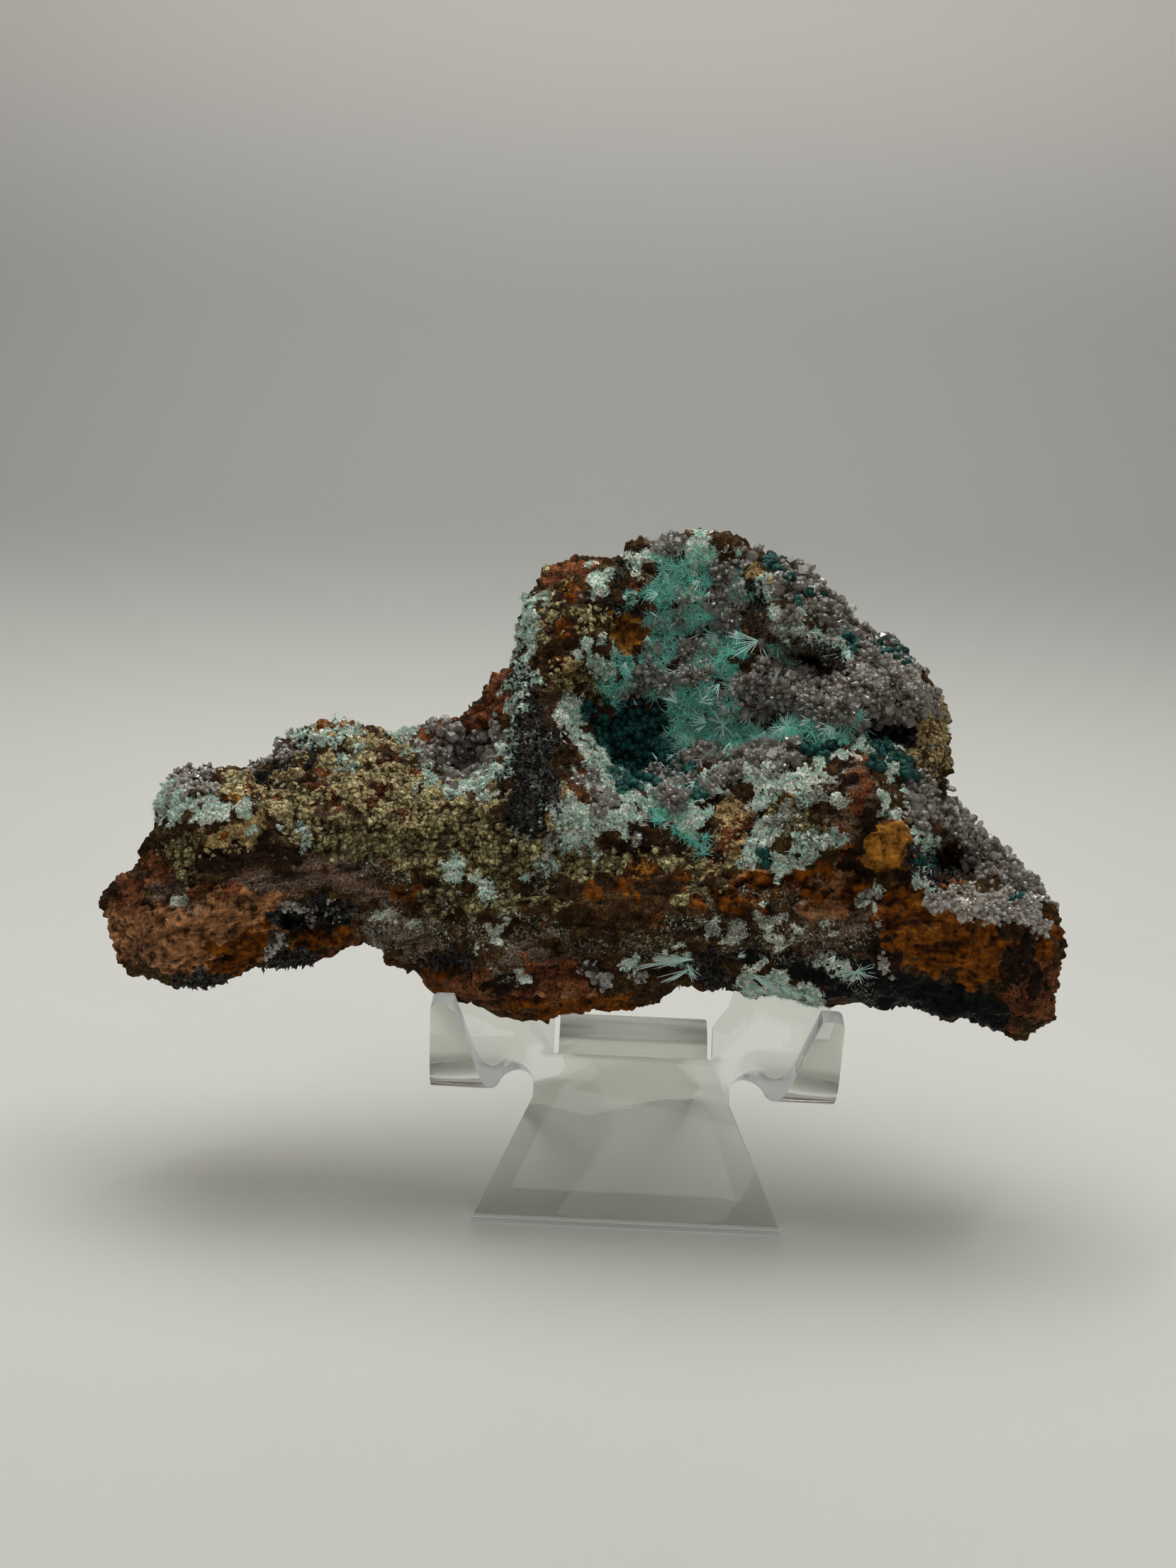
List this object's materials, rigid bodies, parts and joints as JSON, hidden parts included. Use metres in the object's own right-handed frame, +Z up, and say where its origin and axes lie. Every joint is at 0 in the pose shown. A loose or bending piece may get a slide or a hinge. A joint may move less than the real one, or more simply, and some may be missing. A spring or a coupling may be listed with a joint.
{
  "type": "mineral specimen on stand",
  "caption": "Craggy rusty-brown mineral specimen with a crystal-lined hollow of blue-green needles and grey crystals, leaning on a bent clear easel stand.",
  "frame": {"origin": "on the surface the stand rests on, below the centre of the whole object's box", "axes": "+X to the right along the specimen's length, +Y away from the viewer of its crystal side, +Z up"},
  "size_m": [0.1316, 0.0518, 0.0907],
  "materials": {
    "iron_crust": "matte rusty brown, ochre and olive crust of iron oxides, rough and granular",
    "blue_green_fibres": "silky pale to emerald blue-green fibres, needles and small balls",
    "grey_crystals": "small see-through grey to white crystals with bright faces",
    "black_crystals": "black, submetallic fine crystals and striated crust",
    "clear_acrylic": "clear polished acrylic sheet, 3 mm thick, heat bent"
  },
  "bodies": {
    "root": {"mineral_specimen": "iron_crust", "clear_stand": "clear_acrylic"}
  },
  "joints": []
}
